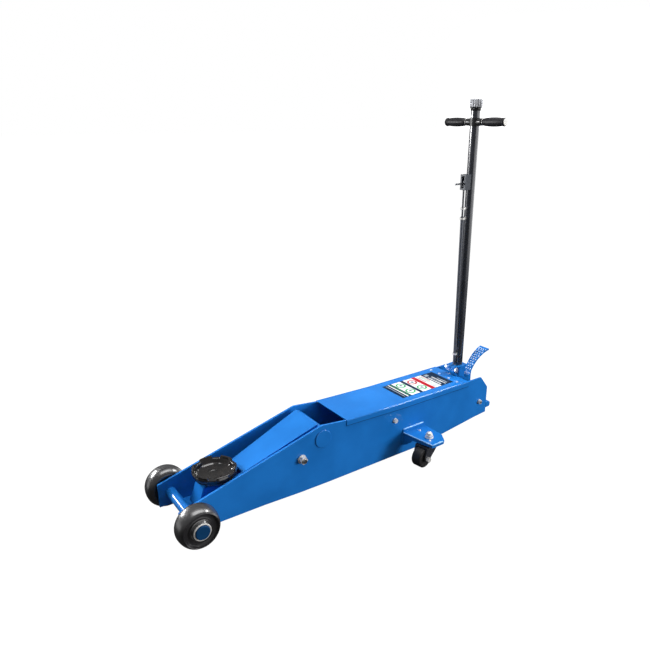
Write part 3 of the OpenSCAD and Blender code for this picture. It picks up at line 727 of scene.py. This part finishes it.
def weld_bead(name, start, end, radius, material=None):
    """A rippled bead of weld between two points, painted over."""
    start, end = Vector(start), Vector(end)
    pitch = 0.0046
    length = (end - start).length
    steps = max(8, int(length / pitch * 4))
    points = [start.lerp(end, i / steps) for i in range(steps + 1)]

    def ripple(i):
        edge = min(1.0, 0.45 + min(i, steps - i) * 0.18)
        wave = abs(math.sin(math.pi * i * length / steps / pitch))
        return radius * edge * (0.84 + 0.16 * wave)

    mesh = tube(name, points, ripple, 10, smooth_deg=50)
    new_piece(name, mesh, "chassis", "blue_paint", material)


def bracket_welds(side_name, side):
    """Beads along the top, front and back of the caster bracket where it meets the plate."""
    low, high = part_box(f"{side_name}_caster_bracket")
    y = side * PLATE_FACE
    crown, start, end = high.z + 0.0010, high.z - 0.012, low.z + 0.004
    # The top bead is painted lighter as a painted highlight; the front and back beads keep the
    # plain blue.
    weld_bead(f"{side_name}_bracket_weld_top", (low.x + 0.002, y, crown),
              (high.x - 0.002, y, crown), 0.0036, EDGE_HIGHLIGHT_PAINT)
    for place, x in (("front", high.x + 0.0005), ("back", low.x)):
        weld_bead(f"{side_name}_bracket_weld_{place}", (x, y, start), (x, y, end), 0.0032)


def bracket_studs(side_name, side):
    """Two small round-headed studs through the caster bracket's plate."""
    low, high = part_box(f"{side_name}_caster_bracket")
    parts = []
    for x, y in ((-0.2778, 0.1231), (-0.2543, 0.2025)):
        verts, faces = dome(0.0046, 0.0034, 20)
        place = Matrix.Translation((x, side * y, high.z - BRACKET_UPSTAND))
        parts.append(mesh_from("stud", verts, faces, place))
    new_piece(f"{side_name}_bracket_studs", joined(f"{side_name}_bracket_studs", parts),
              "chassis", "zinc_plate")


def bracket_edge(side_name, side):
    """The rounded outer edge of the bracket's plate, painted lighter as a painted highlight."""
    low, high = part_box(f"{side_name}_caster_bracket")
    reach = high.y if side > 0 else -low.y
    z = high.z - BRACKET_UPSTAND - 0.0018
    corner = high.x - (reach - PLATE_FACE) * math.tan(BRACKET_SLANT)
    outline = [(high.x - 0.0022, 0.098), (corner - 0.0018, reach - 0.0022),
               (corner - 0.0040, reach - 0.0012), (low.x + 0.032, reach - 0.0012)]
    points = [(x, side * y, z) for x, y in outline]
    mesh = tube(f"{side_name}_bracket_edge", points, 0.0025, 10)
    new_piece(f"{side_name}_bracket_edge", mesh, "chassis", "blue_paint", EDGE_HIGHLIGHT_PAINT)


for bracket_part in (bracket_welds, bracket_edge, bracket_studs):
    for side_name, side in SIDES:
        bracket_part(side_name, side)


# ---------------------------------------------------------------- top cover

def cover_stations():
    """X of the cover's front, bend and rear, with the height of its top at each."""
    low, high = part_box("top_cover")
    return (high.x, high.z), (COVER_BEND_X, COVER_BEND_Z), (low.x, COVER_REAR_Z)


def cover_sheet():
    """The folded sheet over the rear: flat on top, rounded folds and a skirt each side."""
    sheet, fold, skirt = 0.0025, 0.0042, COVER_SKIRT
    stations = cover_stations()
    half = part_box("top_cover")[1].y

    def section(offset):
        """Half of the section seen from the front, measured down from the top."""
        return ([(0.0, -offset)]
                + [(half - fold + (fold - offset) * math.sin(a),
                    -fold + (fold - offset) * math.cos(a))
                   for a in (math.radians(9 * i) for i in range(11))]
                + [(half - offset, -skirt)])

    outer, inner = section(0.0), section(sheet)
    ring = (outer + inner[::-1] + [(-y, z) for y, z in inner[1:]]
            + [(-y, z) for y, z in outer[:0:-1]])
    count = len(ring)
    verts = [(x, y, top + z) for x, top in stations for y, z in ring]
    faces = [(s * count + i, s * count + (i + 1) % count, (s + 1) * count + (i + 1) % count,
              (s + 1) * count + i) for s in range(len(stations) - 1) for i in range(count)]
    n = len(outer)
    for start in (0, (len(stations) - 1) * count):
        for i in range(n - 1):
            faces.append((start + i, start + i + 1, start + 2 * n - 2 - i, start + 2 * n - 1 - i))
        left = [start] + [start + count - 1 - i for i in range(n - 1)]
        right = [start + 2 * n - 1] + [start + 2 * n + i for i in range(n - 1)]
        for i in range(n - 1):
            faces.append((left[i], left[i + 1], right[i + 1], right[i]))
    new_piece("cover_sheet", mesh_from("cover_sheet", verts, faces), "chassis", "blue_paint",
              replaced=["top_cover"])


def cover_skirt_shadow():
    """A dark strip along the lower edge of each skirt: a painted shadow of the gap under it."""
    stations = cover_stations()
    inner, outer = PLATE_FACE - 0.0004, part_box("top_cover")[1].y - 0.0004
    above, below = 0.001, -0.0022
    verts, faces = [], []
    for _, side in SIDES:
        shift = len(verts)
        for x, top in stations:
            for y, lift in ((inner, above), (outer, above), (outer, below), (inner, below)):
                verts.append((x, side * y, top - COVER_SKIRT + lift))
        for s in range(len(stations) - 1):
            first = shift + 4 * s
            for i in range(4):
                j = (i + 1) % 4
                faces.append((first + i, first + j, first + 4 + j, first + 4 + i))
        last = shift + 4 * len(stations) - 4
        faces += [tuple(range(shift, shift + 4)), tuple(range(last, last + 4))]
    new_piece("cover_skirt_shadow", mesh_from("cover_skirt_shadow", verts, faces), "chassis", "blue_paint",
              SHADE_PAINT)


cover_sheet()
cover_skirt_shadow()


# ---------------------------------------------------------------- cover label

def cover_label():
    """A printed panel of plain colour bands and ring pictograms; it carries no lettering."""
    white = print_ink("print_white", (0.80, 0.82, 0.84))
    navy = print_ink("print_navy", (0.006, 0.022, 0.055))
    red = print_ink("print_red", (0.42, 0.012, 0.025))
    green = print_ink("print_green", (0.05, 0.36, 0.13))
    grey = print_ink("print_grey", (0.30, 0.36, 0.42))
    inks = [white, navy, red, green, grey]
    front, rear, right, left = -0.2385, -0.5085, -0.060, 0.064
    verts, faces, ink_of = [], [], []

    def top(x):
        """Height of the cover's rear slope at x."""
        return COVER_BEND_Z - (COVER_BEND_X - x) * COVER_FALL

    def patch(points, level, ink):
        """A flat patch of ink; higher levels lie over lower ones."""
        shift = len(verts)
        verts.extend((x, y, top(x) + 0.00012 * (1 + level)) for x, y in points)
        faces.append(tuple(range(shift, shift + len(points))))
        ink_of.append(inks.index(ink))

    def bar(u0, u1, v0, v1, level, ink):
        """u runs from the panel's front to its rear, v from its right to its left."""
        x0, x1 = front + (rear - front) * u0, front + (rear - front) * u1
        y0, y1 = right + (left - right) * v0, right + (left - right) * v1
        patch([(x0, y0), (x0, y1), (x1, y1), (x1, y0)], level, ink)

    def ring(u, v, ink):
        """A ring with a plain grey and a navy shape inside it."""
        radius = 0.0205
        x, y = front + (rear - front) * u, right + (left - right) * v
        steps = 40
        for k in range(steps):
            a, b = TURN * k / steps, TURN * (k + 1) / steps
            patch([(x + radius * math.cos(s) * w, y + radius * math.sin(s) * w)
                   for s, w in ((a, 1), (b, 1), (b, 0.66), (a, 0.66))], 2, ink)
        patch([(x + dx * radius, y + dy * radius) for dx, dy in
               ((-0.42, -0.30), (-0.10, -0.42), (0.34, -0.22), (0.44, 0.12), (0.16, 0.20),
                (-0.06, 0.44), (-0.32, 0.24))], 2, grey)
        patch([(x + dx * radius, y + dy * radius) for dx, dy in
               ((-0.12, -0.16), (0.22, -0.06), (0.06, 0.16), (-0.18, 0.10))], 3, navy)

    bar(0.0, 1.0, 0.0, 1.0, 0, navy)
    bar(0.055, 0.068, 0.05, 0.95, 1, grey)
    bar(0.100, 0.118, 0.012, 0.988, 1, white)
    bar(0.135, 0.147, 0.05, 0.95, 1, green)
    for u0, u1 in ((0.172, 0.335), (0.395, 0.560)):
        bar(u0, u1, 0.012, 0.988, 1, white)
    bar(0.560, 0.635, 0.0, 1.0, 1, red)
    bar(0.635, 0.760, 0.012, 0.988, 1, white)
    for k in range(4):
        u = 0.650 + 0.027 * k
        bar(u, u + 0.014, 0.06 + 0.03 * (k % 2), 0.52 + 0.07 * (k % 3), 2,
            (red, grey, green)[k % 3])
        bar(u, u + 0.012, 0.64 + 0.03 * (k % 2), 0.94, 2, grey)
    for k, (v0, v1) in enumerate(((0.30, 0.90), (0.34, 0.80), (0.30, 0.94))):
        u = 0.785 + 0.036 * k
        bar(u, u + 0.016, v0, v1, 1, white if k != 1 else grey)
    bar(0.900, 0.920, 0.45, 0.90, 1, grey)
    bar(0.790, 0.860, 0.06, 0.20, 1, grey)
    for u, v, ink in ((0.254, 0.27, green), (0.254, 0.73, green), (0.478, 0.27, red),
                      (0.478, 0.73, green)):
        ring(u, v, ink)

    mesh = bpy.data.meshes.new("cover_label")
    mesh.from_pydata(verts, [], faces)
    for ink in inks:
        mesh.materials.append(ink)
    for face, index in zip(mesh.polygons, ink_of):
        face.material_index = index
    bm = bmesh.new()
    bm.from_mesh(mesh)
    for face in bm.faces:
        if face.normal.z < 0:
            face.normal_flip()
    bm.to_mesh(mesh)
    bm.free()
    new_piece("cover_label", mesh, "chassis", "panel_print")


cover_label()


# ---------------------------------------------------------------- room and light

# Brightness of the surroundings below and above the horizon.
SKY = (0.04, 0.24)
# Soft walls: where each stands, cosines of its edges, brightness, lowest and highest z.
WALLS = (
    ((0.82, -0.57), 0.94, 0.97, 0.8, (-0.15, 0.10)),
    ((-0.910, 0.414), 0.26, 0.42, 1.6, (-0.14, 0.08)),
)


def backdrop():
    """A floor that is white to the camera, dull to the light and not mirrored in the jack."""
    mesh = bpy.data.meshes.new("floor")
    size = 60.0
    mesh.from_pydata([(-size, -size, 0), (size, -size, 0), (size, size, 0), (-size, size, 0)],
                     [], [(0, 1, 2, 3)])
    obj = bpy.data.objects.new("floor", mesh)
    bpy.context.collection.objects.link(obj)
    mat, tree, bsdf = shader("studio_floor")
    bsdf.inputs["Base Color"].default_value = (0.06, 0.06, 0.06, 1)
    bsdf.inputs["Roughness"].default_value = 0.9
    bsdf.inputs["Specular IOR Level"].default_value = 0.0
    bsdf.inputs["Emission Color"].default_value = (1, 1, 1, 1)
    seen = tree.nodes.new("ShaderNodeLightPath").outputs["Is Camera Ray"]
    tree.links.new(seen, bsdf.inputs["Emission Strength"])
    mesh.materials.append(mat)
    obj.visible_glossy = False


def world_light():
    """White to the camera; to everything else a dim studio with the soft walls."""
    world = bpy.data.worlds.new("studio")
    world.use_nodes = True
    tree = world.node_tree
    link = tree.links.new

    def maths(kind, first, second=None):
        node = tree.nodes.new("ShaderNodeMath")
        node.operation = kind
        for socket, value in zip(node.inputs, (first, second)):
            if isinstance(value, (int, float)):
                socket.default_value = value
            elif value is not None:
                link(value, socket)
        return node.outputs[0]

    def smooth(value, start, end, low, high):
        node = tree.nodes.new("ShaderNodeMapRange")
        node.interpolation_type = "SMOOTHSTEP"
        for key, number in (("From Min", start), ("From Max", end), ("To Min", low),
                            ("To Max", high)):
            node.inputs[key].default_value = number
        link(value, node.inputs["Value"])
        return node.outputs["Result"]

    where = tree.nodes.new("ShaderNodeTexCoord").outputs["Generated"]
    split = tree.nodes.new("ShaderNodeSeparateXYZ")
    link(where, split.inputs[0])
    x, y, z = split.outputs
    flat = maths("SQRT", maths("ADD", maths("MULTIPLY", x, x), maths("MULTIPLY", y, y)))
    total = smooth(z, -0.25, 0.35, *SKY)
    blur = 0.12
    for (wx, wy), outer, inner, level, (foot, head) in WALLS:
        length = math.hypot(wx, wy)
        facing = maths("DIVIDE", maths("ADD", maths("MULTIPLY", x, wx / length),
                                       maths("MULTIPLY", y, wy / length)), flat)
        inside = smooth(facing, outer, inner, 0.0, level)
        above = smooth(z, foot - blur, foot, 0.0, 1.0)
        below = smooth(z, head, head + blur, 1.0, 0.0)
        total = maths("ADD", total, maths("MULTIPLY", inside, maths("MULTIPLY", above, below)))
    seen = tree.nodes.new("ShaderNodeLightPath").outputs["Is Camera Ray"]
    strength = maths("MAXIMUM", total, seen)
    back = tree.nodes["Background"]
    back.inputs["Color"].default_value = (1, 1, 1, 1)
    link(strength, back.inputs["Strength"])
    bpy.context.scene.world = world


def soft_light(name, place, aim, size, power, mirrored=True):
    """A rectangle of light in watts; mirrored says whether glossy paint reflects it."""
    data = bpy.data.lights.new(name, "AREA")
    data.shape = "RECTANGLE"
    data.size, data.size_y = size
    data.energy = power
    obj = bpy.data.objects.new(name, data)
    bpy.context.collection.objects.link(obj)
    obj.location = place
    obj.rotation_euler = (Vector(aim) - Vector(place)).to_track_quat("-Z", "Y").to_euler()
    obj.visible_glossy = mirrored


def camera():
    """Stands at the front left and looks down at the jack's middle."""
    azimuth, elevation, roll = (math.radians(v) for v in (145.53, 18.75, -0.35))
    back = Vector((math.sin(azimuth) * math.cos(elevation),
                   -math.cos(azimuth) * math.cos(elevation), math.sin(elevation)))
    right = Vector((math.cos(azimuth), math.sin(azimuth), 0))
    up = back.cross(right)
    right, up = (math.cos(roll) * right + math.sin(roll) * up,
                 math.cos(roll) * up - math.sin(roll) * right)
    data = bpy.data.cameras.new("camera")
    data.sensor_width = 36.0
    data.lens = 33.52
    data.clip_end = 100.0
    obj = bpy.data.objects.new("camera", data)
    bpy.context.collection.objects.link(obj)
    place = Vector((1.1872, 1.6199, 1.2308))
    turn = Matrix((right, up, back)).transposed().to_4x4()
    obj.matrix_world = Matrix.Translation(place) @ turn
    bpy.context.scene.camera = obj


backdrop()
world_light()
soft_light("overhead", (-0.1, 0.0, 3.3), (-0.1, 0, 0.2), (3.0, 1.8), 74)
soft_light("front_soft", (1.9, -2.2, 1.7), (0.6, 0, 0.1), (1.9, 1.2), 65, mirrored=False)
soft_light("front_glint", (1.7, -2.3, 1.28), (0.6, 0, 0.1), (1.2, 0.55), 64)
soft_light("rear_top", (-2.2, 0.1, 2.4), (-0.3, 0.05, 0.2), (1.6, 0.6), 64)
soft_light("key", (-5.2, 6.3, 1.3), (-0.1, 0.1, 0.1), (2.4, 1.9), 500, mirrored=False)
camera()
bpy.context.scene.view_settings.view_transform = "Standard"
